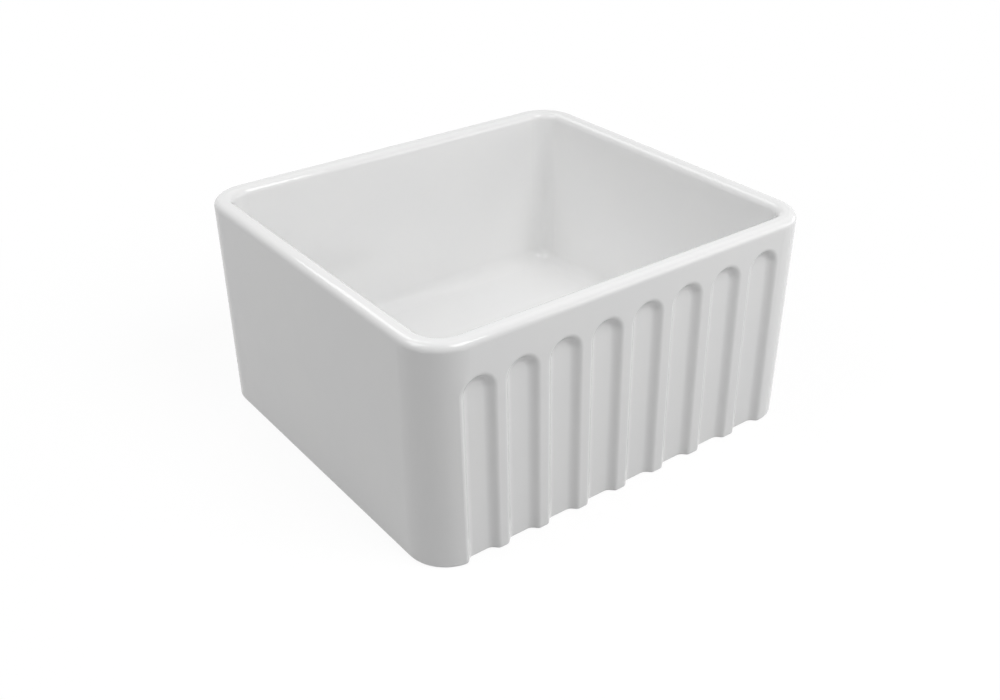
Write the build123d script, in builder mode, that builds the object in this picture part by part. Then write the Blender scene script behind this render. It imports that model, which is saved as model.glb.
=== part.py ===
"""Farmhouse apron front sink with its basket strainer waste.

Millimetres, +Z up, +X to the right of someone who faces the fluted apron, +Y to the back.
The origin is on the waste's axis, at the open lower end of the tailpiece.
"""

from build123d import *
import math
import os

os.makedirs("parts", exist_ok=True)

# Basin: size over the rim
basin_width = 508.0
basin_depth = 457.0
basin_height = 254.0
corner_radius = 47.0
outer_draft = 0.4  # degrees that the outside walls lean in towards the base
rim_thickness = 21.0
rim_outer_round = 8.0
rim_flat = 4.0  # level band along the top of the rim
base_round = 3.5

# Basin: bowl, floor and foot ring
bowl_draft = 1.5  # degrees
floor_round = 18.0
floor_fall = 3.0  # from the foot of the walls to the drain
floor_fall_angle = 0.5  # degrees, where the fall starts
floor_margin = 3.0  # level floor beside the walls' rounding and beside the drain
floor_thickness = 20.0  # under the strainer's flange
foot_height = 17.0  # of the hollow under the floor
foot_width = 34.0
foot_corner_radius = 20.0
foot_draft = 8.0  # degrees
foot_round = 6.0

# Apron: arched flutes that run out through the base
flute_count = 8
flute_left_lap = 4.8  # of the first flute over the left corner's rounding
flute_right_gap = 3.6  # from the last flute to the right corner's rounding
ridge_width = 12.1  # of the first ridge from the left
flute_growth = 0.5  # each flute and each ridge is wider than the last one, to the right
flute_depth = 6.9
flute_side_angle = 43.0  # degrees from square to the apron
flute_edge_round = 5.5
flute_floor_round = 9.0
flute_top_gap = 39.4  # from the rim to the top of the first arch
flute_top_rise = 1.97  # each arch is higher than the last one, to the right
flute_lean = 1.35  # degrees that the first flute's top leans to the left
flute_lean_fall = 0.05  # each flute leans less than the last one, to the right

# Drain hole and strainer body
drain_hole_radius = 45.0
drain_hole_gap = 3.5  # round the cup
recess_gap = 2.0  # round the flange
recess_edge_round = 1.0
flange_below_floor = 1.0
flange_lap = 12.0  # beyond the drain hole
flange_edge_round = 0.7
flange_seal_thickness = 1.5
flange_seal_inset = 1.5  # from the flange's edge
flange_seal_hole_gap = 0.5  # round the drain hole
steel_thickness = 1.5
throat_round = 3.0
basket_shelf_depth = 10.0  # below the top of the flange
basket_shelf_width = 2.0
cup_floor_round = 5.0
cup_base_round = 2.5
cup_plain_end = 5.0  # below the thread
cup_thread_depth = 1.2
cup_thread_pitch = 2.5

# What clamps the strainer to the basin
clamp_ring_lap = 12.0  # beyond the drain hole
clamp_ring_gap = 0.8  # between the rings and the cup's thread
under_gasket_thickness = 3.0
friction_washer_thickness = 1.0
locknut_height = 11.0
locknut_wall = 12.0
locknut_lug_count = 8
locknut_lug_reach = 5.0
locknut_lug_width = 13.0
locknut_edge = 0.8

# Tailpiece, outlet and coupling nut
tailpiece_radius = 19.05
tailpiece_wall = 1.2
tailpiece_length = 90.0
tailpiece_flange_gap = 1.5  # inside the coupling nut
tailpiece_flange_thickness = 1.5
tailpiece_swelling = 0.25  # of the neck under the flange
tailpiece_washer_thickness = 2.0
outlet_bore_radius = 18.4
outlet_wall = 5.0
outlet_neck_wall = 1.5
outlet_in_nut = 13.5
outlet_above_nut = 6.5
outlet_thread_depth = 1.0
outlet_thread_pitch = 2.2
outlet_lip_width = 4.0
outlet_lip_height = 1.0
coupling_nut_wall = 4.0
coupling_nut_floor = 3.0
coupling_nut_bevel = 2.0
cross_height = 5.0
cross_rise = 3.0  # above the outlet's lower end
cross_ring_wall = 1.5
cross_arm_count = 3
cross_arm_width = 2.5
cross_hub_wall = 3.0

# Basket and its bush
sheet_thickness = 1.0
basket_rim_gap = 0.5
basket_side_gap = 1.5  # between the top of the basket's side and the cup
basket_side_lean = 7.5  # of the side, from its top to its bottom
basket_depth = 31.0
basket_bend = 4.0
hole_radius = 1.9
hole_ring_count = 3
hole_margin = 0.8
hole_pitch = 8.6
slot_count = 20
slot_width = 3.0
slot_rise = 11.0  # above the basket's bottom
slot_drop = 6.0  # below the basket's rim
bush_wall = 2.0
bush_flange_lap = 3.0
bush_flange_thickness = 1.5

# Stopper and post
post_radius = 4.0
post_shoulder = 1.0
post_tip_bevel = 1.0
post_tip_guide = 4.0  # of the tip that the cross still holds with the stopper raised
post_spigot_step = 1.5
post_spigot_length = 8.0
stopper_lap = 4.0  # beyond the outlet's lip
stopper_thickness = 4.0
stopper_edge = 1.0
stopper_travel = 8.0
stopper_spare = 0.8  # between the backing washer and the bush, with the stopper raised
backing_washer_radius = 15.0
backing_washer_thickness = 1.2
post_nut_wall = 2.0
post_nut_height = 5.0
knob_radius = 9.5
knob_neck_radius = 5.0
knob_collar_step = 1.0
knob_collar_height = 2.0
knob_height = 16.0
knob_above_flange = 6.0
knob_head_height = 6.0
knob_edge = 2.0

# Fits
press_gap = 0.05  # between pieces pressed or swaged together
running_gap = 0.1  # round a shaft that slides
screw_gap = 0.2  # between a nut's bore and the crest of its thread
pipe_gap = 0.3  # round the tailpiece's neck
small = 0.01  # smaller than any feature

# Heights, worked out upwards from the tailpiece's lower end
tailpiece_flange_z = tailpiece_length - tailpiece_flange_thickness
coupling_nut_z = tailpiece_flange_z - coupling_nut_floor
outlet_bottom_z = tailpiece_length + tailpiece_washer_thickness
coupling_nut_top_z = outlet_bottom_z + outlet_in_nut
cross_z = outlet_bottom_z + cross_rise
cup_underside_z = coupling_nut_top_z + outlet_above_nut
cup_floor_z = cup_underside_z + steel_thickness
stopper_z = cup_floor_z + outlet_lip_height
stopper_top_z = stopper_z + stopper_thickness
post_shoulder_z = stopper_top_z + backing_washer_thickness
post_bottom_z = cross_z + cross_height - stopper_travel - post_tip_guide
bush_z = post_shoulder_z + stopper_travel + stopper_spare
basket_z = bush_z + bush_flange_thickness
basket_inside_z = basket_z + sheet_thickness
basket_shelf_z = basket_z + basket_depth
flange_top_z = basket_shelf_z + basket_shelf_depth
knob_z = flange_top_z + knob_above_flange - knob_height
flange_underside_z = flange_top_z - steel_thickness
flange_seat_z = flange_underside_z - flange_seal_thickness
floor_underside_z = flange_seat_z - floor_thickness
gasket_z = floor_underside_z - under_gasket_thickness
locknut_top_z = gasket_z - friction_washer_thickness
drain_floor_z = flange_top_z + flange_below_floor
wall_foot_z = drain_floor_z + floor_fall
base_z = floor_underside_z - foot_height
rim_z = base_z + basin_height
bowl_depth = rim_z - wall_foot_z

# Radii, from the drain hole inwards and from the tailpiece outwards
flange_radius = drain_hole_radius + flange_lap
cup_shoulder_radius = drain_hole_radius - drain_hole_gap
cup_radius = cup_shoulder_radius - steel_thickness
cup_lower_radius = cup_radius - basket_shelf_width
cup_root_radius = cup_lower_radius + steel_thickness
cup_crest_radius = cup_root_radius + cup_thread_depth
outlet_neck_radius = outlet_bore_radius + outlet_neck_wall
outlet_lip_radius = outlet_bore_radius + outlet_lip_width
outlet_crest_radius = outlet_bore_radius + outlet_wall
outlet_root_radius = outlet_crest_radius - outlet_thread_depth
coupling_nut_bore_radius = outlet_crest_radius + screw_gap
tailpiece_bore_radius = tailpiece_radius - tailpiece_wall
tailpiece_neck_radius = tailpiece_radius + tailpiece_swelling
tailpiece_flange_radius = coupling_nut_bore_radius - tailpiece_flange_gap
post_tip_radius = post_radius - post_shoulder
post_spigot_radius = post_radius - post_spigot_step
bush_seat_radius = post_radius + bush_wall
bush_flange_radius = bush_seat_radius + bush_flange_lap


def tangent(degrees):
    """Tangent of an angle in degrees."""
    return math.tan(math.radians(degrees))


def section(*points):
    """The face inside a closed outline of (radius, height) points, ready to be revolved."""
    with BuildSketch(Plane.XZ) as profile:
        with BuildLine():
            Polyline(*points, close=True)
        make_face()
    return profile.sketch


def ring(inner_radius, outer_radius, height):
    """A flat ring at one height, ready to be extruded."""
    with BuildSketch(Plane.XY.offset(height)) as flat:
        Circle(outer_radius)
        Circle(inner_radius, mode=Mode.SUBTRACT)
    return flat.sketch


def thread_outline(crest_radius, depth, pitch, low, high):
    """Points of a thread's section, from its top down, as ridges one pitch apart."""
    ridges = max(1, int((high - low) / pitch))
    points = []
    for ridge in range(ridges):
        ridge_top = high - ridge * pitch
        points.append((crest_radius - depth, ridge_top))
        points.append((crest_radius, ridge_top - pitch / 2))
    points.append((crest_radius - depth, high - ridges * pitch))
    return points


# ---------------------------------------------------------------- Basin
# The apron's plane leans in at the base with the draft. Its local Y runs up the apron and its Z into
# the clay, so the flutes are cut parallel to the apron's surface and keep one depth.
apron = Plane(
    origin=(0, -basin_depth / 2, rim_z),
    x_dir=(-1, 0, 0),
    z_dir=(0, math.cos(math.radians(outer_draft)), math.sin(math.radians(outer_draft))),
)
fluted_width = basin_width - 2 * corner_radius + flute_left_lap - flute_right_gap
total_growth = flute_growth * (sum(range(flute_count)) + sum(range(flute_count - 1)))
first_ridges = (flute_count - 1) * ridge_width
flute_opening = (fluted_width - first_ridges - total_growth) / flute_count
flute_side_length = flute_depth / math.cos(math.radians(flute_side_angle))
side_tangent = tangent((90 - flute_side_angle) / 2)  # share of a round that its side needs

# The bowl's corners are concentric with the outer ones, and tighten towards the floor with the draft
bowl_lean = bowl_depth * tangent(bowl_draft)
bowl_corner_radius = corner_radius - rim_thickness
bowl_foot_radius = bowl_corner_radius - bowl_lean
fall_start_radius = (
    min(basin_width, basin_depth) / 2 - rim_thickness - bowl_lean - floor_round - floor_margin
)
recess_radius = flange_radius + recess_gap
fall_end_radius = recess_radius + floor_margin


def is_flute_floor_edge(edge):
    """True for an edge that stays at the flutes' depth behind the apron's surface."""
    depths = [apron.to_local_coords(edge @ part).Z for part in (0, 0.5, 1)]
    return min(depths) > flute_depth - small


def is_flute_edge(edge):
    """True for an edge near the apron's surface, or the corner's, that stays below the rim's round."""
    points = [edge @ part for part in (0, 0.5, 1)]
    deepest = max(apron.to_local_coords(point).Z for point in points)
    highest = max(point.Z for point in points)
    return deepest < flute_depth / 2 and highest < rim_z - rim_outer_round - small


with BuildPart() as basin:
    with BuildSketch(Plane.XY.offset(rim_z)):
        RectangleRounded(basin_width, basin_depth, corner_radius)
    extrude(amount=-basin_height, taper=outer_draft)
    fillet(basin.faces().sort_by(Axis.Z)[-1].edges(), rim_outer_round)

    # Flutes: arches with sloping sides, softened where these meet the ridges and the flutes' floors.
    # Each one leans about the middle of its foot, so the ridges' feet stay where they are.
    with BuildSketch(apron):
        flute_start = corner_radius - flute_left_lap - basin_width / 2
        for flute in range(flute_count):
            opening = flute_opening + flute * flute_growth
            arch_center = basin_height + flute * flute_top_rise - flute_top_gap - opening / 2
            lean = flute_lean - flute * flute_lean_fall
            with Locations(Location((-flute_start - opening / 2, -basin_height, 0), (0, 0, -lean))):
                Rectangle(opening, 2 * arch_center)
                with Locations((0, arch_center)):
                    Circle(opening / 2)
            flute_start += opening + ridge_width + flute * flute_growth
    extrude(amount=flute_depth, taper=flute_side_angle, mode=Mode.SUBTRACT)
    cut_edges = basin.edges(Select.LAST).filter_by_position(Axis.Z, base_z + small, rim_z)
    fillet(cut_edges.filter_by(is_flute_edge), flute_edge_round)
    inner_edges = basin.edges().filter_by_position(Axis.Z, base_z + small, rim_z)
    fillet(
        inner_edges.filter_by(is_flute_floor_edge),
        min(flute_floor_round, flute_side_length / side_tangent - flute_edge_round - small),
    )

    # The scalloped base edge, and the hollow inside the foot ring
    fillet(basin.faces().sort_by(Axis.Z)[0].outer_wire().edges(), base_round)
    with BuildSketch(Plane.XY.offset(base_z)):
        RectangleRounded(
            basin_width - 2 * foot_width,
            basin_depth - 2 * foot_width,
            foot_corner_radius,
        )
    extrude(amount=foot_height, taper=foot_draft, mode=Mode.SUBTRACT)
    underside = basin.faces(Select.LAST).sort_by(Axis.Z)[-1]
    fillet(underside.outer_wire().edges(), foot_round)

    # Bowl
    with BuildSketch(Plane.XY.offset(rim_z)):
        RectangleRounded(
            basin_width - 2 * rim_thickness,
            basin_depth - 2 * rim_thickness,
            bowl_corner_radius,
        )
    extrude(amount=-bowl_depth, taper=bowl_draft, mode=Mode.SUBTRACT)
    bowl_floor = basin.faces(Select.LAST).sort_by(Axis.Z)[0]
    fillet(bowl_floor.outer_wire().edges(), min(floor_round, bowl_foot_radius - small))

    # The floor's fall to the drain
    with BuildSketch(Plane.XZ):
        with BuildLine():
            fall = Spline(
                (fall_end_radius, drain_floor_z),
                (fall_start_radius, wall_foot_z),
                tangents=((1, 0), (1, tangent(floor_fall_angle))),
            )
            Polyline(
                fall @ 1,
                (fall_start_radius, wall_foot_z + floor_fall),
                (0, wall_foot_z + floor_fall),
                (0, drain_floor_z),
                fall @ 0,
            )
        make_face()
    revolve(axis=Axis.Z, mode=Mode.SUBTRACT)

    # Drain hole, with a recess that the strainer's flange sits in
    with Locations((0, 0, drain_floor_z)):
        CounterBoreHole(
            radius=drain_hole_radius,
            counter_bore_radius=recess_radius,
            counter_bore_depth=drain_floor_z - flange_seat_z,
            depth=drain_floor_z - base_z,
        )
    recess_edges = basin.edges(Select.LAST).filter_by(GeomType.CIRCLE)
    fillet(recess_edges.sort_by(Axis.Z)[-1], recess_edge_round)

    # Rim: the level band that is left between the two rounds
    rim_inner_round = rim_thickness - rim_outer_round - rim_flat
    fillet(basin.faces().sort_by(Axis.Z)[-1].inner_wires()[0].edges(), rim_inner_round)
basin.part.label = "basin"
export_step(basin.part, "parts/basin.step")

# ---------------------------------------------------------------- Strainer body
with BuildPart() as flange_seal:
    flange_seal_inner_radius = drain_hole_radius + flange_seal_hole_gap
    flange_seal_outer_radius = flange_radius - flange_seal_inset
    extrude(
        ring(flange_seal_inner_radius, flange_seal_outer_radius, flange_seat_z),
        amount=flange_seal_thickness,
    )
flange_seal.part.label = "flange_seal"
export_step(flange_seal.part, "parts/flange_seal.step")

# A cup stamped from one sheet, with a flange. The step in its side is a shelf that carries the
# basket, and the lower part has rolled ridges for the locknut.
with BuildPart() as strainer_body:
    cup_thread = thread_outline(
        cup_crest_radius,
        cup_thread_depth,
        cup_thread_pitch,
        cup_underside_z + cup_plain_end,
        floor_underside_z,
    )
    revolve(
        section(
            (outlet_neck_radius + press_gap, cup_floor_z),
            (cup_lower_radius, cup_floor_z),
            (cup_lower_radius, basket_shelf_z),
            (cup_radius, basket_shelf_z),
            (cup_radius, flange_top_z),
            (flange_radius, flange_top_z),
            (flange_radius, flange_underside_z),
            (cup_shoulder_radius, flange_underside_z),
            (cup_shoulder_radius, basket_shelf_z - steel_thickness),
            (cup_root_radius, basket_shelf_z - steel_thickness),
            *cup_thread,
            (cup_root_radius, cup_underside_z),
            (outlet_neck_radius + press_gap, cup_underside_z),
        ),
        axis=Axis.Z,
    )
    top_edges = strainer_body.edges().group_by(Axis.Z)[-1].sort_by(SortBy.RADIUS)
    fillet(top_edges[0], throat_round)
    fillet(top_edges[-1], flange_edge_round)
    floor_edges = strainer_body.edges().filter_by(GeomType.CIRCLE).group_by(Axis.Z)[1]
    fillet(floor_edges.sort_by(SortBy.RADIUS)[-1], cup_floor_round)
    base_edges = strainer_body.edges().filter_by(GeomType.CIRCLE).group_by(Axis.Z)[0]
    fillet(base_edges.sort_by(SortBy.RADIUS)[-1], cup_base_round)
strainer_body.part.label = "strainer_body"
export_step(strainer_body.part, "parts/strainer_body.step")

# ---------------------------------------------------------------- Outlet
# The spud's neck passes through the cup's floor and is swaged over it. The raised lip is the seat
# that the stopper closes.
with BuildPart() as outlet_spud:
    outlet_thread = thread_outline(
        outlet_crest_radius,
        outlet_thread_depth,
        outlet_thread_pitch,
        outlet_bottom_z + outlet_thread_depth,
        cup_underside_z - outlet_thread_pitch,
    )
    revolve(
        section(
            (outlet_bore_radius, outlet_bottom_z),
            (outlet_bore_radius, stopper_z),
            (outlet_lip_radius, stopper_z),
            (outlet_lip_radius, cup_floor_z),
            (outlet_neck_radius, cup_floor_z),
            (outlet_neck_radius, cup_underside_z),
            (outlet_root_radius, cup_underside_z),
            *outlet_thread,
            (outlet_root_radius, outlet_bottom_z),
        ),
        axis=Axis.Z,
    )
outlet_spud.part.label = "outlet_spud"
export_step(outlet_spud.part, "parts/outlet_spud.step")

with BuildPart() as outlet_cross:
    cross_radius = outlet_bore_radius - press_gap
    cross_bore_radius = post_tip_radius + running_gap
    with BuildSketch(Plane.XY.offset(cross_z)):
        Circle(cross_radius)
        Circle(cross_radius - cross_ring_wall, mode=Mode.SUBTRACT)
        with PolarLocations(0, cross_arm_count):
            Rectangle(
                cross_radius - cross_ring_wall / 2,
                cross_arm_width,
                align=(Align.MIN, Align.CENTER),
            )
        Circle(cross_bore_radius + cross_hub_wall)
        Circle(cross_bore_radius, mode=Mode.SUBTRACT)
    extrude(amount=cross_height)
outlet_cross.part.label = "outlet_cross"
export_step(outlet_cross.part, "parts/outlet_cross.step")

# ---------------------------------------------------------------- Clamp under the basin
clamp_ring_inner_radius = cup_crest_radius + clamp_ring_gap
clamp_ring_outer_radius = drain_hole_radius + clamp_ring_lap

with BuildPart() as under_gasket:
    extrude(
        ring(clamp_ring_inner_radius, clamp_ring_outer_radius, gasket_z),
        amount=under_gasket_thickness,
    )
under_gasket.part.label = "under_gasket"
export_step(under_gasket.part, "parts/under_gasket.step")

with BuildPart() as friction_washer:
    extrude(
        ring(clamp_ring_inner_radius, clamp_ring_outer_radius, locknut_top_z),
        amount=friction_washer_thickness,
    )
friction_washer.part.label = "friction_washer"
export_step(friction_washer.part, "parts/friction_washer.step")

with BuildPart() as locknut:
    locknut_bore_radius = cup_crest_radius + screw_gap
    locknut_radius = locknut_bore_radius + locknut_wall
    with BuildSketch(Plane.XY.offset(locknut_top_z - locknut_height)):
        Circle(locknut_radius)
        with PolarLocations(locknut_radius, locknut_lug_count):
            Rectangle(2 * locknut_lug_reach, locknut_lug_width)
        Circle(locknut_bore_radius, mode=Mode.SUBTRACT)
    extrude(amount=locknut_height)
    chamfer(locknut.faces().sort_by(Axis.Z)[0].outer_wire().edges(), locknut_edge)
    chamfer(locknut.faces().sort_by(Axis.Z)[-1].outer_wire().edges(), locknut_edge)
locknut.part.label = "locknut"
export_step(locknut.part, "parts/locknut.step")

# ---------------------------------------------------------------- Tailpiece
with BuildPart() as tailpiece_washer:
    extrude(
        ring(tailpiece_bore_radius, tailpiece_flange_radius, tailpiece_length),
        amount=tailpiece_washer_thickness,
    )
tailpiece_washer.part.label = "tailpiece_washer"
export_step(tailpiece_washer.part, "parts/tailpiece_washer.step")

with BuildPart() as tailpiece:
    revolve(
        section(
            (tailpiece_bore_radius, 0),
            (tailpiece_radius, 0),
            (tailpiece_radius, coupling_nut_z),
            (tailpiece_neck_radius, coupling_nut_z + tailpiece_swelling),
            (tailpiece_neck_radius, tailpiece_flange_z),
            (tailpiece_flange_radius, tailpiece_flange_z),
            (tailpiece_flange_radius, tailpiece_length),
            (tailpiece_bore_radius, tailpiece_length),
        ),
        axis=Axis.Z,
    )
tailpiece.part.label = "tailpiece"
export_step(tailpiece.part, "parts/tailpiece.step")

# The hexagon's corners are turned off at both ends. The bore stops at a floor, which draws the
# tailpiece's flange up to the outlet.
with BuildPart() as coupling_nut:
    nut_neck_radius = tailpiece_neck_radius + pipe_gap
    nut_corner_radius = (coupling_nut_bore_radius + coupling_nut_wall) / math.cos(math.pi / 6)
    with BuildSketch(Plane.XY.offset(coupling_nut_z)):
        RegularPolygon(radius=nut_corner_radius, side_count=6)
    extrude(amount=coupling_nut_top_z - coupling_nut_z)
    revolve(
        section(
            (nut_neck_radius, coupling_nut_z),
            (nut_corner_radius - coupling_nut_bevel, coupling_nut_z),
            (nut_corner_radius, coupling_nut_z + coupling_nut_bevel),
            (nut_corner_radius, coupling_nut_top_z - coupling_nut_bevel),
            (nut_corner_radius - coupling_nut_bevel, coupling_nut_top_z),
            (coupling_nut_bore_radius, coupling_nut_top_z),
            (coupling_nut_bore_radius, tailpiece_flange_z),
            (nut_neck_radius, tailpiece_flange_z),
        ),
        axis=Axis.Z,
        mode=Mode.INTERSECT,
    )
coupling_nut.part.label = "coupling_nut"
export_step(coupling_nut.part, "parts/coupling_nut.step")

# ---------------------------------------------------------------- Basket
basket_rim_radius = cup_radius - basket_rim_gap
basket_top_radius = cup_lower_radius - basket_side_gap
basket_bottom_radius = basket_top_radius - basket_side_lean

with BuildPart() as basket_cup:
    with BuildSketch(Plane.XZ) as basket_sheet:
        with BuildLine():
            Polyline(
                (bush_seat_radius, basket_z),
                (basket_bottom_radius, basket_z),
                (basket_top_radius, basket_shelf_z),
                (basket_rim_radius, basket_shelf_z),
                (basket_rim_radius, basket_shelf_z + sheet_thickness),
                (basket_top_radius - sheet_thickness, basket_shelf_z + sheet_thickness),
                (basket_bottom_radius - sheet_thickness, basket_inside_z),
                (bush_seat_radius, basket_inside_z),
                close=True,
            )
        make_face()
        for sheet_depth in (0, sheet_thickness):
            corner_x = basket_bottom_radius - sheet_depth
            corner = basket_sheet.vertices().filter_by_position(
                Axis.X, corner_x - small, corner_x + small
            )
            fillet(corner, basket_bend - sheet_depth)
    revolve(axis=Axis.Z)

    # Rings of holes in the bottom, from the bush to the bend, and slots in the side
    first_ring_radius = bush_flange_radius + hole_margin + hole_radius
    last_ring_radius = basket_bottom_radius - basket_bend - hole_margin - hole_radius
    for step in range(hole_ring_count):
        ring_share = step / (hole_ring_count - 1)
        ring_radius = first_ring_radius + ring_share * (last_ring_radius - first_ring_radius)
        with Locations((0, 0, basket_inside_z)):
            with PolarLocations(ring_radius, int(2 * math.pi * ring_radius / hole_pitch)):
                Hole(hole_radius, depth=2 * sheet_thickness)
    slot_height = basket_depth - slot_rise - slot_drop
    with Locations((0, 0, basket_z + slot_rise + slot_height / 2)):
        with PolarLocations((basket_top_radius + basket_bottom_radius) / 2, slot_count):
            Box(
                basket_rim_radius - basket_bottom_radius,
                slot_width,
                slot_height,
                mode=Mode.SUBTRACT,
            )
basket_cup.part.label = "basket_cup"
export_step(basket_cup.part, "parts/basket_cup.step")

with BuildPart() as post_bush:
    bush_bore_radius = post_radius + running_gap
    bush_waist_radius = bush_seat_radius - press_gap
    revolve(
        section(
            (bush_bore_radius, bush_z),
            (bush_flange_radius, bush_z),
            (bush_flange_radius, basket_z),
            (bush_waist_radius, basket_z),
            (bush_waist_radius, basket_inside_z),
            (bush_flange_radius, basket_inside_z),
            (bush_flange_radius, basket_inside_z + bush_flange_thickness),
            (bush_bore_radius, basket_inside_z + bush_flange_thickness),
        ),
        axis=Axis.Z,
    )
post_bush.part.label = "post_bush"
export_step(post_bush.part, "parts/post_bush.step")

# ---------------------------------------------------------------- Stopper
with BuildPart() as stopper_disc:
    stopper_radius = outlet_lip_radius + stopper_lap
    extrude(
        ring(post_tip_radius + press_gap, stopper_radius, stopper_z),
        amount=stopper_thickness,
    )
    stopper_rims = stopper_disc.edges().filter_by(GeomType.CIRCLE).sort_by(SortBy.RADIUS)[-2:]
    fillet(stopper_rims, stopper_edge)
stopper_disc.part.label = "stopper_disc"
export_step(stopper_disc.part, "parts/stopper_disc.step")

with BuildPart() as backing_washer:
    extrude(
        ring(post_tip_radius + press_gap, backing_washer_radius, stopper_top_z),
        amount=backing_washer_thickness,
    )
backing_washer.part.label = "backing_washer"
export_step(backing_washer.part, "parts/backing_washer.step")

with BuildPart() as lift_post:
    revolve(
        section(
            (0, post_bottom_z),
            (post_tip_radius - post_tip_bevel, post_bottom_z),
            (post_tip_radius, post_bottom_z + post_tip_bevel),
            (post_tip_radius, post_shoulder_z),
            (post_radius, post_shoulder_z),
            (post_radius, knob_z),
            (post_spigot_radius, knob_z),
            (post_spigot_radius, knob_z + post_spigot_length),
            (0, knob_z + post_spigot_length),
        ),
        axis=Axis.Z,
    )
lift_post.part.label = "lift_post"
export_step(lift_post.part, "parts/lift_post.step")

with BuildPart() as post_nut:
    post_nut_corner_radius = (post_tip_radius + post_nut_wall) / math.cos(math.pi / 6)
    with BuildSketch(Plane.XY.offset(stopper_z - post_nut_height)):
        RegularPolygon(radius=post_nut_corner_radius, side_count=6)
        Circle(post_tip_radius + press_gap, mode=Mode.SUBTRACT)
    extrude(amount=post_nut_height)
post_nut.part.label = "post_nut"
export_step(post_nut.part, "parts/post_nut.step")

# A knob with a collar at its foot and a neck that swells into the head
with BuildPart() as lift_knob:
    knob_top_z = knob_z + knob_height
    knob_collar_radius = knob_neck_radius + knob_collar_step
    knob_neck_z = knob_z + knob_collar_height + knob_collar_step
    with BuildSketch(Plane.XZ):
        with BuildLine():
            neck = Spline(
                (knob_neck_radius, knob_neck_z),
                (knob_radius, knob_top_z - knob_head_height),
                tangents=((0, 1), (1, 1)),
            )
            Polyline(
                neck @ 1,
                (knob_radius, knob_top_z),
                (0, knob_top_z),
                (0, knob_z),
                (knob_collar_radius, knob_z),
                (knob_collar_radius, knob_z + knob_collar_height),
                neck @ 0,
            )
        make_face()
    revolve(axis=Axis.Z)
    fillet(lift_knob.faces().sort_by(Axis.Z)[-1].edges(), knob_edge)
    with Locations((0, 0, knob_z)):
        Hole(post_spigot_radius + press_gap, depth=post_spigot_length + press_gap)
lift_knob.part.label = "lift_knob"
export_step(lift_knob.part, "parts/lift_knob.step")

print(f"base at {base_z:.2f} mm and rim at {rim_z:.2f} mm above the tailpiece's lower end")
print(f"flutes {flute_opening:.2f} to {opening:.2f} mm wide")
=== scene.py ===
# %% [markdown]
# # A farmhouse apron front sink
# The sink is one heavy casting of fired clay under a white glaze, with eight arched flutes on its
# apron and a steel basket strainer in its floor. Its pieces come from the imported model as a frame,
# in metres, each with its real size and place. This lesson gives every piece its finish, and then
# stands the sink on a pale floor in soft light, seen from where the photographer stood.

# %% Load the frame
import bpy
import math
from mathutils import Matrix, Vector


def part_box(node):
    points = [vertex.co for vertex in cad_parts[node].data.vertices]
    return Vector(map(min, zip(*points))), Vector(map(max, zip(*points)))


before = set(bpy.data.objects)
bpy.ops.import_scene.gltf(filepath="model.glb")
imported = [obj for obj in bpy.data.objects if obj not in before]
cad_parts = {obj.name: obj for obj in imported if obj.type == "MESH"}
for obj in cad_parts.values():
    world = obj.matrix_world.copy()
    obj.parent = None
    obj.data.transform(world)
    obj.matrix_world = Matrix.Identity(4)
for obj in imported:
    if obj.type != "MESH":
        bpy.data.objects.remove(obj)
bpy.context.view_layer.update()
basin_low, basin_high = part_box("basin")
base_z = basin_low.z
rim_z = basin_high.z
print(f"{len(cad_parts)} pieces, base at {base_z:.3f} m, rim at {rim_z:.3f} m")

# %% [markdown]
# ## Two helpers that every material uses
# A material is a tree of nodes, and building one by hand means two things over and over: an input
# is filled with a plain value, or it is linked to the output of another node. The helper feed does
# whichever its source asks for, so the calls further on read the same for both.

# %% Feed a socket, add a node
MM = 0.001
MICRON = 0.000001
WHITE = (1.0, 1.0, 1.0)


def feed(tree, source, socket):
    """Links an output to an input, or fills the input with a number, vector or (r, g, b)."""
    if isinstance(source, bpy.types.NodeSocket):
        tree.links.new(source, socket)
    elif socket.type == "RGBA":
        socket.default_value = (*source, 1.0)
    else:
        socket.default_value = source


def node(tree, kind, **settings):
    """Adds a node; a setting named like an input feeds it, and any other is a property."""
    made = tree.nodes.new(kind)
    for name, value in settings.items():
        socket_name = name.replace("_", " ")
        if socket_name in made.inputs:
            feed(tree, value, made.inputs[socket_name])
        else:
            setattr(made, name, value)
    return made


def new_material(name, **sockets):
    """A node material whose Principled shader starts with plain values for the named sockets."""
    material = bpy.data.materials.new(name)
    material.use_nodes = True
    tree = material.node_tree
    shader = tree.nodes["Principled BSDF"]
    for socket_name, value in sockets.items():
        feed(tree, value, shader.inputs[socket_name.replace("_", " ")])
    return material, tree, shader


print("lengths are in metres, so a micron is", MICRON)

# %% [markdown]
# ## Textures and the sums between them
# All textures read Object coordinates. These are metres in the sink's own frame, so a texture's
# scale is a real size, and nothing slides when a piece moves.

# %% Texture helpers
NOISE_LOW = 0.3  # a noise seldom leaves this range
NOISE_HIGH = 0.7


def object_vector(tree):
    """The place of each point of the surface, in metres."""
    return node(tree, "ShaderNodeTexCoord").outputs["Object"]


def noise(tree, vector, scale, detail=2.0, roughness=0.5, distortion=0.0):
    """A noise value whose features are about 1 / scale metres apart."""
    made = node(
        tree,
        "ShaderNodeTexNoise",
        Vector=vector,
        Scale=scale,
        Detail=detail,
        Roughness=roughness,
        Distortion=distortion,
    )
    return made.outputs["Fac"]


def maths(tree, operation, first, second=0.0):
    """A Math node; each operand is a number or an output socket."""
    made = node(tree, "ShaderNodeMath", operation=operation)
    for socket, operand in zip(made.inputs, (first, second)):
        feed(tree, operand, socket)
    return made.outputs[0]


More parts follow.
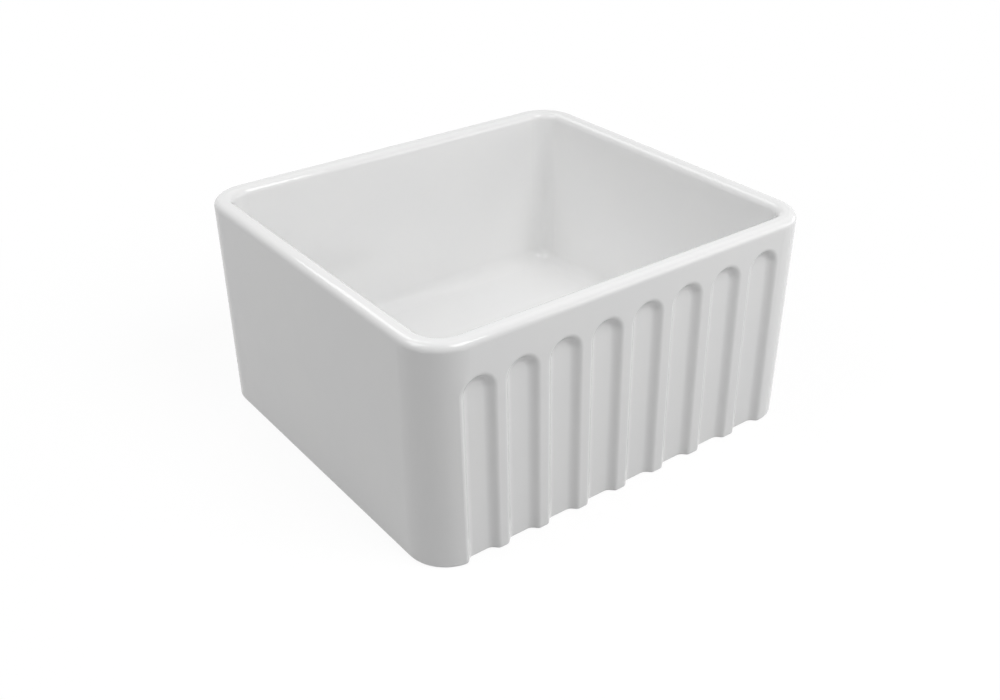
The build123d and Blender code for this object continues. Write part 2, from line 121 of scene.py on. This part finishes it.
def ramp(tree, value, low, high, out_low=0.0, out_high=1.0):
    """Carries a value from one range to another, smoothly, and holds it at the ends."""
    made = node(
        tree,
        "ShaderNodeMapRange",
        interpolation_type="SMOOTHSTEP",
        Value=value,
        From_Min=low,
        From_Max=high,
        To_Min=out_low,
        To_Max=out_high,
    )
    return made.outputs["Result"]


# %% [markdown]
# ## Mixing and relief
# A Mix node carries a pair of inputs for each kind of data that it can mix, and shows only one of
# them. Their names are the same, so a script has to pick the pair by its number.

# %% Mixing helpers
MIX_SOCKETS = {"FLOAT": (2, 3, 0), "RGBA": (6, 7, 2)}  # both inputs and the output


def mix(tree, data_type, factor, first, second):
    """Mixes two numbers or two colours; each is a socket or a plain value."""
    made = node(tree, "ShaderNodeMix", data_type=data_type, Factor=factor)
    input_a, input_b, output = MIX_SOCKETS[data_type]
    feed(tree, first, made.inputs[input_a])
    feed(tree, second, made.inputs[input_b])
    return made.outputs[output]


def mix_shaders(tree, factor, first, second):
    """Mixes two shaders; at a factor of 1 only the second is left."""
    made = node(tree, "ShaderNodeMixShader", Fac=factor)
    feed(tree, first, made.inputs[1])
    feed(tree, second, made.inputs[2])
    return made.outputs[0]


def bump(tree, height, strength, distance, normal=None):
    """A Bump node, whose distance is the real height of the relief in metres."""
    made = node(tree, "ShaderNodeBump", Height=height, Strength=strength, Distance=distance)
    if normal is not None:
        feed(tree, normal, made.inputs["Normal"])
    return made.outputs["Normal"]


# %% [markdown]
# ## White glaze
# A fireclay glaze is thick, glossy and slightly uneven. Its white drifts a little from place to
# place, and now and then it holds a speck of iron. A picture of a glaze would repeat itself on so
# large a casting, and a noise never does. The specks come from a Voronoi texture: it divides space
# into small cells, and a random number for each cell lets only a few in a thousand hold a speck.

# %% Colour of the glaze
GLAZE_WHITE = (0.903, 0.903, 0.900)
GLAZE_COOL = (0.895, 0.896, 0.896)
IRON_BROWN = (0.45, 0.38, 0.30)
DRIFTS_PER_METRE = 9.0
SPECK_CELLS_PER_METRE = 220.0
SPECK_CHANCE = 0.006  # of a cell holding a speck
SPECK_CORE = 0.05  # radius of its dark middle, in cells
SPECK_EDGE = 0.13  # radius where it has faded out
SPECK_DARKNESS = 0.35
ALL_WHITE = 0.35  # where the drift's noise is below this, the glaze is GLAZE_WHITE
ALL_COOL = 0.65  # and above this, GLAZE_COOL


def glaze_specks(tree, place):
    """A mask that is 1 in the middle of each speck."""
    cells = node(tree, "ShaderNodeTexVoronoi", Vector=place, Scale=SPECK_CELLS_PER_METRE)
    chance = node(tree, "ShaderNodeTexWhiteNoise", Vector=cells.outputs["Position"])
    chosen = maths(tree, "GREATER_THAN", chance.outputs["Value"], 1.0 - SPECK_CHANCE)
    near = ramp(tree, cells.outputs["Distance"], SPECK_CORE, SPECK_EDGE, 1.0, 0.0)
    return maths(tree, "MULTIPLY", chosen, near)


def glaze_color(tree, place, specks):
    drift = ramp(tree, noise(tree, place, DRIFTS_PER_METRE, detail=3.0), ALL_WHITE, ALL_COOL)
    white = mix(tree, "RGBA", drift, GLAZE_WHITE, GLAZE_COOL)
    darkness = maths(tree, "MULTIPLY", specks, SPECK_DARKNESS)
    return mix(tree, "RGBA", darkness, white, IRON_BROWN)


print("one cell in", round(1 / SPECK_CHANCE), "holds a speck")

# %% [markdown]
# ## Bare clay underneath
# The glaze wraps the whole casting except what stood on the kiln shelf, so the foot ring and the
# underside are bare buff clay, with pale grains of grog in it. One shader holds both finishes, and
# a mask chooses between them. The mask comes from the surface's own direction, because what faces
# down is just what the glaze didn't reach, and a little noise keeps its edge from being ruled.

# %% Colour and mask of the clay
CLAY_BUFF = (0.60, 0.49, 0.37)
CLAY_PALE = (0.72, 0.63, 0.52)
GROG_PER_METRE = 900.0
ALL_BUFF = 0.40  # where the grog's noise is below this, the clay is CLAY_BUFF
ALL_PALE = 0.62  # and above this, CLAY_PALE
BARE_STARTS = 0.76  # how far down a surface faces, where 1 is straight down
BARE_WHOLE = 0.84
EDGE_WANDER = 0.12
WANDERS_PER_METRE = 60.0


def bare_mask(tree, place):
    """1 where the casting faces down and has no glaze."""
    normal = node(tree, "ShaderNodeNewGeometry").outputs["Normal"]
    upward = node(tree, "ShaderNodeSeparateXYZ", Vector=normal).outputs["Z"]
    uneven = noise(tree, place, WANDERS_PER_METRE, detail=3.0)
    wander = maths(tree, "MULTIPLY", uneven, EDGE_WANDER)
    downward = maths(tree, "SUBTRACT", maths(tree, "MULTIPLY", upward, -1.0), wander)
    return ramp(tree, downward, BARE_STARTS, BARE_WHOLE)


def clay_color(tree, grog):
    return mix(tree, "RGBA", ramp(tree, grog, ALL_BUFF, ALL_PALE), CLAY_BUFF, CLAY_PALE)


print("bare clay where the surface faces down by more than", BARE_STARTS)

# %% [markdown]
# ## Gloss and relief of the glaze
# The glaze is a sheet of glass: nearly a mirror, and a little softer where it is thin. It lies in
# slow ripples a few centimetres long, with a fine orange peel on them and a pinhole at each speck.
# All these are far too shallow to model, so each is a Bump node of its real height, and each hands
# its normal on to the next.

# %% Glaze
GLAZE_IOR = 1.52
THICK_ROUGHNESS = 0.045
THIN_ROUGHNESS = 0.08
CLAY_ROUGHNESS = 0.85
THIN_PATCHES_PER_METRE = 24.0
RIPPLES_PER_METRE = 22.0
RIPPLE_STRENGTH, RIPPLE_HEIGHT = 0.5, 0.6 * MM
PEEL_PER_METRE = 260.0
PEEL_STRENGTH, PEEL_HEIGHT = 0.25, 0.04 * MM
PIT_STRENGTH, PIT_DEPTH = 0.5, 0.1 * MM
CLAY_STRENGTH, CLAY_HEIGHT = 0.8, 0.4 * MM


def glaze_relief(tree, place, specks, grog, bare):
    ripples = noise(tree, place, RIPPLES_PER_METRE, detail=1.0)
    rippled = bump(tree, ripples, RIPPLE_STRENGTH, RIPPLE_HEIGHT)
    peel = noise(tree, place, PEEL_PER_METRE, detail=1.0)
    peeled = bump(tree, peel, PEEL_STRENGTH, PEEL_HEIGHT, rippled)
    pits = maths(tree, "MULTIPLY", specks, -1.0)
    pitted = bump(tree, pits, PIT_STRENGTH, PIT_DEPTH, peeled)
    grains = maths(tree, "MULTIPLY", grog, bare)
    return bump(tree, grains, CLAY_STRENGTH, CLAY_HEIGHT, pitted)


def make_glaze():
    material, tree, shader = new_material("fireclay_glaze", IOR=GLAZE_IOR)
    place = object_vector(tree)
    specks = glaze_specks(tree, place)
    bare = bare_mask(tree, place)
    grog = noise(tree, place, GROG_PER_METRE)
    color = mix(tree, "RGBA", bare, glaze_color(tree, place, specks), clay_color(tree, grog))
    feed(tree, color, shader.inputs["Base Color"])
    thin = noise(tree, place, THIN_PATCHES_PER_METRE, detail=4.0)
    gloss = ramp(tree, thin, NOISE_LOW, NOISE_HIGH, THICK_ROUGHNESS, THIN_ROUGHNESS)
    feed(tree, mix(tree, "FLOAT", bare, gloss, CLAY_ROUGHNESS), shader.inputs["Roughness"])
    feed(tree, glaze_relief(tree, place, specks, grog, bare), shader.inputs["Normal"])
    return material


glaze = make_glaze()
print("made", glaze.name, "from", len(glaze.node_tree.nodes), "nodes")

# %% [markdown]
# ## Marks that several finishes share
# Steel, brass and chrome parts of a waste are all round, and were spun, turned or polished on a
# machine, so their fine lines run round the waste's axis. One group makes those lines from the
# distance to the axis and the height, and each metal uses it at its own spacing.
# A second group makes the soft smudges and water marks that any used surface has.

# %% Shared groups
LINE_BREAK = 0.0006  # metres per radian; it makes a line break off after a few centimetres
CLEAN = 0.42  # where the smudges' noise is below this, the mask is 0
SMUDGED = 0.68  # and above this, 1


def new_group(name, inputs, output):
    """A shader node group with number inputs and one output, and its input and output nodes."""
    group = bpy.data.node_groups.new(name, "ShaderNodeTree")
    sockets = group.interface
    for socket_name, value in inputs.items():
        socket = sockets.new_socket(socket_name, in_out="INPUT", socket_type="NodeSocketFloat")
        socket.default_value = value
    sockets.new_socket(output, in_out="OUTPUT", socket_type="NodeSocketFloat")
    return group, group.nodes.new("NodeGroupInput"), group.nodes.new("NodeGroupOutput")


def make_turning_marks():
    group, given, result = new_group("turning_marks", {"Lines per metre": 2500.0}, "Lines")
    place = node(group, "ShaderNodeSeparateXYZ", Vector=object_vector(group)).outputs
    x_squared = maths(group, "MULTIPLY", place["X"], place["X"])
    y_squared = maths(group, "MULTIPLY", place["Y"], place["Y"])
    from_axis = maths(group, "SQRT", maths(group, "ADD", x_squared, y_squared))
    angle = maths(group, "ARCTAN2", place["Y"], place["X"])
    along = maths(group, "MULTIPLY", angle, LINE_BREAK)
    track = node(group, "ShaderNodeCombineXYZ", X=from_axis, Y=place["Z"], Z=along)
    spacing = given.outputs["Lines per metre"]
    lines = noise(group, track.outputs[0], spacing, detail=2.0, roughness=0.6)
    feed(group, lines, result.inputs["Lines"])
    return group


def make_smudges():
    group, given, result = new_group("smudges", {"Smudges per metre": 60.0}, "Mask")
    spacing = given.outputs["Smudges per metre"]
    place = object_vector(group)
    cloud = noise(group, place, spacing, detail=5.0, roughness=0.62, distortion=0.6)
    feed(group, ramp(group, cloud, CLEAN, SMUDGED), result.inputs["Mask"])
    return group


turning_marks = make_turning_marks()
smudges = make_smudges()
print("groups:", turning_marks.name, smudges.name)

# %% [markdown]
# ## Metals
# Each metal is fully metallic, with its own colour, gloss and line spacing. The lines change the
# roughness a little and the surface by 2 to 10 thousandths of a millimetre; the smudges dull it.

# %% Metal finishes
BETWEEN_LINES = 0.85  # shares of the metal's own roughness
ON_LINES = 1.2
UNDER_SMUDGES = 0.45  # added to either
LINE_STRENGTH = 0.6


def make_metal(name, color, dull_color, roughness, lines_per_metre, line_height, smudged=60.0):
    """A metal turned round the waste's axis, with so many smudges per metre."""
    material, tree, shader = new_material(name, Metallic=1.0)
    marks = node(
        tree, "ShaderNodeGroup", node_tree=turning_marks, Lines_per_metre=lines_per_metre
    )
    lines = marks.outputs["Lines"]
    smudge = node(tree, "ShaderNodeGroup", node_tree=smudges, Smudges_per_metre=smudged)
    mask = smudge.outputs["Mask"]
    feed(tree, mix(tree, "RGBA", mask, color, dull_color), shader.inputs["Base Color"])
    smoothest, roughest = roughness * BETWEEN_LINES, roughness * ON_LINES
    lined = ramp(tree, lines, NOISE_LOW, NOISE_HIGH, smoothest, roughest)
    dulled = maths(tree, "MULTIPLY", mask, roughness * UNDER_SMUDGES)
    feed(tree, maths(tree, "ADD", lined, dulled), shader.inputs["Roughness"])
    feed(tree, bump(tree, lines, LINE_STRENGTH, line_height), shader.inputs["Normal"])
    return material


spun_steel = make_metal(
    "spun_steel", (0.62, 0.615, 0.60), (0.53, 0.525, 0.51), 0.24, 3200.0, 10 * MICRON
)
drawn_steel = make_metal(
    "drawn_steel", (0.58, 0.575, 0.56), (0.47, 0.465, 0.45), 0.20, 4500.0, 6 * MICRON
)
bright_chrome = make_metal(
    "bright_chrome", (0.76, 0.77, 0.78), (0.68, 0.69, 0.70), 0.07, 1500.0, 2 * MICRON
)
turned_brass = make_metal(
    "turned_brass", (0.72, 0.55, 0.27), (0.50, 0.36, 0.17), 0.28, 2200.0, 10 * MICRON, smudged=90.0
)
print("made", spun_steel.name, drawn_steel.name, bright_chrome.name, turned_brass.name)

# %% [markdown]
# ## Rubber, foam, fibre and nylon
# The seals are soft and matt. Moulded rubber is nearly black with a grey bloom, foam is full of
# small cells, fibre board shows short felted hairs, and nylon is milky with a satin skin. All four
# are one recipe, a grain with smudges over it, at four scales: only the nylon also lets light in.

# %% Soft finishes
SOFT_SMUDGES_PER_METRE = 120.0
SMOOTHEST = 0.85  # shares of the finish's own roughness
ROUGHEST = 1.1
GRAIN_STRENGTH = 0.7


def make_soft(name, color, pale_color, roughness, grain_per_metre, grain_height, **sockets):
    material, tree, shader = new_material(name, **sockets)
    smudge = node(
        tree, "ShaderNodeGroup", node_tree=smudges, Smudges_per_metre=SOFT_SMUDGES_PER_METRE
    )
    bloom = mix(tree, "RGBA", smudge.outputs["Mask"], color, pale_color)
    feed(tree, bloom, shader.inputs["Base Color"])
    grain = noise(tree, object_vector(tree), grain_per_metre, detail=3.0, roughness=0.6)
    smoothest, roughest = roughness * SMOOTHEST, roughness * ROUGHEST
    gloss = ramp(tree, grain, NOISE_LOW, NOISE_HIGH, smoothest, roughest)
    feed(tree, gloss, shader.inputs["Roughness"])
    feed(tree, bump(tree, grain, GRAIN_STRENGTH, grain_height), shader.inputs["Normal"])
    return material


moulded_rubber = make_soft(
    "moulded_rubber", (0.022, 0.022, 0.024), (0.055, 0.055, 0.058), 0.62, 1800.0, 30 * MICRON
)
foam = make_soft(
    "cell_foam", (0.16, 0.16, 0.165), (0.24, 0.24, 0.24), 0.90, 1100.0, 200 * MICRON
)
fibre = make_soft(
    "felted_fibre", (0.34, 0.23, 0.14), (0.45, 0.33, 0.21), 0.88, 1400.0, 100 * MICRON
)
nylon = make_soft(
    "milky_nylon",
    (0.80, 0.79, 0.75),
    (0.86, 0.85, 0.82),
    0.42,
    900.0,
    10 * MICRON,
    Subsurface_Weight=0.15,
    Subsurface_Radius=(2.0 * MM, 2.0 * MM, 1.6 * MM),
)
print("made", moulded_rubber.name, foam.name, fibre.name, nylon.name)

# %% [markdown]
# ## Give every piece its finish
# Each piece of a waste is made of what its work asks for: steel where it is seen and washed, brass
# where it is threaded or pressed in, chrome on what hangs in view under the sink, rubber and foam
# where water is held back. The shapes come from the frame as they are, so a finish only takes the
# material slot of its pieces, and one table is the easiest way to see that no piece is left out.

# %% Finishes
finishes = {
    glaze: ("basin",),
    spun_steel: ("strainer_body", "basket_cup"),
    drawn_steel: ("lift_post", "backing_washer"),
    bright_chrome: ("lift_knob", "tailpiece", "coupling_nut"),
    turned_brass: ("outlet_spud", "outlet_cross", "locknut", "post_nut"),
    moulded_rubber: ("stopper_disc", "under_gasket"),
    foam: ("flange_seal",),
    fibre: ("friction_washer",),
    nylon: ("tailpiece_washer", "post_bush"),
}
for finish, names in finishes.items():
    for name in names:
        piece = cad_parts[name]
        piece.data.materials.clear()
        piece.data.materials.append(finish)
finished = sum(len(names) for names in finishes.values())
print(finished, "of", len(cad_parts), "pieces have a finish")

# %% [markdown]
# ## Floor
# The sink rests on its foot ring, and its waste hangs below it, as it does in a cabinet. So the
# floor is a wide sheet at the foot ring's height with an opening inside the ring. The sheet is one
# plane: an inset makes a smaller face in its middle, which is brought to the opening's size and
# then deleted.

# %% Floor
FLOOR_SIZE = 7.0
OPENING_INSET = 0.036  # from the basin's sides to the foot ring's inner edge


def make_floor():
    inner_size = FLOOR_SIZE / 2
    basin_size = basin_high - basin_low
    opening_width = basin_size.x - 2 * OPENING_INSET
    opening_depth = basin_size.y - 2 * OPENING_INSET
    bpy.ops.object.select_all(action="DESELECT")
    bpy.ops.mesh.primitive_plane_add(size=FLOOR_SIZE, location=(0, 0, base_z))
    floor = bpy.context.object
    floor.name = "floor"
    bpy.ops.object.mode_set(mode="EDIT")
    bpy.ops.mesh.select_all(action="SELECT")
    bpy.ops.mesh.inset(thickness=(FLOOR_SIZE - inner_size) / 2)
    bpy.ops.transform.resize(
        value=(opening_width / inner_size, opening_depth / inner_size, 1),
        center_override=(0, 0, base_z),
    )
    bpy.ops.mesh.delete(type="FACE")
    bpy.ops.object.mode_set(mode="OBJECT")
    bpy.ops.object.transform_apply()
    return floor


floor = make_floor()
print("floor at", round(base_z, 4), "m")

# %% [markdown]
# ## Floor paint
# The background is white, and yet the floor must not throw so much light on the sink's sides that
# they turn white too. So the paint itself is grey, and what the camera sees of it is mixed with a
# white glow. Near the sink the glow gives way to the lit paint, so that a faint shadow stays, and
# what is left of the glow is made stronger there, so that the sum without a shadow is still white.
# Seen from below the sheet is clear, so that a low view still finds the underside and the waste.

# %% Floor paint
PAINT_GREY = (0.40, 0.40, 0.40)
PAINT_ROUGHNESS = 0.9
SHADOW_SHARE = 0.30  # of the lit paint in the floor's look near the sink
SHADOW_NEAR = 0.45  # metres from the middle, where that share starts to fall
SHADOW_FAR = 0.90  # and where it has reached nothing
LIT_PAINT = 0.35  # how bright the lamps leave the unshadowed paint


def seen_directly(tree):
    """1 on rays from the camera, also by way of glossy and clear surfaces; 0 on all others."""
    rays = node(tree, "ShaderNodeLightPath").outputs
    indirect = maths(tree, "MAXIMUM", rays["Is Glossy Ray"], rays["Is Transmission Ray"])
    return maths(tree, "MAXIMUM", rays["Is Camera Ray"], indirect)


def make_floor_paint():
    material, tree, shader = new_material(
        "floor_paint", Base_Color=PAINT_GREY, Roughness=PAINT_ROUGHNESS
    )
    away = node(tree, "ShaderNodeVectorMath", operation="LENGTH", Vector=object_vector(tree))
    lit_share = ramp(tree, away.outputs["Value"], SHADOW_NEAR, SHADOW_FAR, SHADOW_SHARE, 0.0)
    glow_share = maths(tree, "SUBTRACT", 1.0, lit_share)
    missing = maths(tree, "SUBTRACT", 1.0, maths(tree, "MULTIPLY", lit_share, LIT_PAINT))
    strength = maths(tree, "DIVIDE", missing, glow_share)
    glow = node(tree, "ShaderNodeEmission", Color=WHITE, Strength=strength)
    seen_glow = maths(tree, "MULTIPLY", seen_directly(tree), glow_share)
    from_above = mix_shaders(tree, seen_glow, shader.outputs[0], glow.outputs[0])
    below = node(tree, "ShaderNodeNewGeometry").outputs["Backfacing"]
    clear = node(tree, "ShaderNodeBsdfTransparent")
    paint = mix_shaders(tree, below, from_above, clear.outputs[0])
    feed(tree, paint, tree.nodes["Material Output"].inputs["Surface"])
    return material


floor.data.materials.append(make_floor_paint())
print("floor is painted with", floor.data.materials[0].name)

# %% [markdown]
# ## World
# The world has two strengths. As a light it is only a dim fill, which keeps the shadows open, and
# as a background it is plain white, by the same rays as on the floor.

# %% World
AMBIENT = 0.19


def make_world():
    world = bpy.data.worlds.new("studio")
    world.use_nodes = True
    tree = world.node_tree
    fill = tree.nodes["Background"]
    feed(tree, WHITE, fill.inputs["Color"])
    feed(tree, AMBIENT, fill.inputs["Strength"])
    backdrop = node(tree, "ShaderNodeBackground", Color=WHITE, Strength=1.0)
    sky = mix_shaders(tree, seen_directly(tree), fill.outputs[0], backdrop.outputs[0])
    feed(tree, sky, tree.nodes["World Output"].inputs["Surface"])
    return world


bpy.context.scene.world = make_world()
print("world fill", AMBIENT)

# %% [markdown]
# ## Lamps
# White glaze shows its shape only through soft differences of light, so the light is broad. Three
# high panels make the rim and the inside brightest, two on the right light the apron more than the
# left side, and a weak one at the front left opens up the near corner. A narrow strip on the left
# draws a thin highlight on that corner's rim. All of them face the middle of the basin.
# The floor throws back less than half of the light, which keeps the outer walls greyer than the
# bowl, where the white walls light each other.

# %% Lamps
LAMPS = {  # place in metres, width and height in metres, power in watts
    "high_front_panel": ((0.3, -1.2, 1.9), (1.0, 1.0), 17.8),
    "high_left_panel": ((-1.2, 0.3, 1.9), (1.0, 1.0), 9.8),
    "high_back_panel": ((0.0, 1.3, 1.9), (1.0, 1.0), 6.3),
    "front_right_panel": ((1.55, -1.55, 1.0), (1.2, 1.2), 7.5),
    "low_right_panel": ((2.3, -0.6, 0.5), (1.5, 1.0), 8.2),
    "front_left_panel": ((-1.3, -2.0, 0.9), (1.5, 1.0), 1.0),
    "left_strip": ((-1.7, -0.25, 1.5), (1.2, 0.18), 2.3),
}
middle = Vector((0, 0, (base_z + rim_z) / 2))


def add_panel(name, place, size, power):
    """A rectangular lamp that faces the middle of the basin."""
    data = bpy.data.lights.new(name, "AREA")
    data.shape = "RECTANGLE"
    data.size, data.size_y = size
    data.energy = power
    panel = bpy.data.objects.new(name, data)
    bpy.context.scene.collection.objects.link(panel)
    panel.location = place
    panel.rotation_euler = (middle - panel.location).to_track_quat("-Z", "Y").to_euler()


for name, (place, size, power) in LAMPS.items():
    add_panel(name, place, size, power)
total_power = sum(power for place, size, power in LAMPS.values())
print(len(LAMPS), "lamps of", round(total_power, 1), "W in all")

# %% [markdown]
# ## Camera
# The photograph was taken from the front left, above the rim, with a slightly long lens. The
# bearing, the height and the lens were worked out from the sink's outline: its parallel edges
# converge only a little, so the camera stood well back. The camera's own three directions are
# worked out one by one, and then make up its matrix.

# %% Camera
CAMERA_BEARING = -36.874  # degrees round from the front, to the left
CAMERA_ELEVATION = 30.416  # degrees above the level
CAMERA_ROLL = -0.275  # degrees anticlockwise, seen from behind the camera
CAMERA_DISTANCE = 1.3491
AIM_RIGHT = -0.0020  # metres from the middle of the basin, across the picture
AIM_UP = -0.0540  # and up it
LENS_PIXELS = 1162.6  # focal length in pixels of a picture 1000 wide
PICTURE_WIDTH = 1000.0
SENSOR_WIDTH = 36.0  # millimetres, as Blender gives it


def make_camera():
    bearing = math.radians(CAMERA_BEARING)
    elevation = math.radians(CAMERA_ELEVATION)
    roll = math.radians(CAMERA_ROLL)
    back = Vector(
        (
            math.sin(bearing) * math.cos(elevation),
            -math.cos(bearing) * math.cos(elevation),
            math.sin(elevation),
        )
    )
    level_right = Vector((math.cos(bearing), math.sin(bearing), 0))
    level_up = back.cross(level_right)
    right = level_right * math.cos(roll) + level_up * math.sin(roll)
    up = level_up * math.cos(roll) - level_right * math.sin(roll)
    data = bpy.data.cameras.new("camera")
    data.sensor_width = SENSOR_WIDTH
    data.lens = LENS_PIXELS / PICTURE_WIDTH * SENSOR_WIDTH
    camera = bpy.data.objects.new("camera", data)
    bpy.context.scene.collection.objects.link(camera)
    turn = Matrix((right, up, back)).transposed().to_4x4()
    place = middle + back * CAMERA_DISTANCE + level_right * AIM_RIGHT + level_up * AIM_UP
    camera.matrix_world = Matrix.Translation(place) @ turn
    return camera


camera = make_camera()
bpy.context.scene.camera = camera
bpy.context.scene.view_settings.view_transform = "Standard"
print("camera at", [round(v, 3) for v in camera.matrix_world.translation])
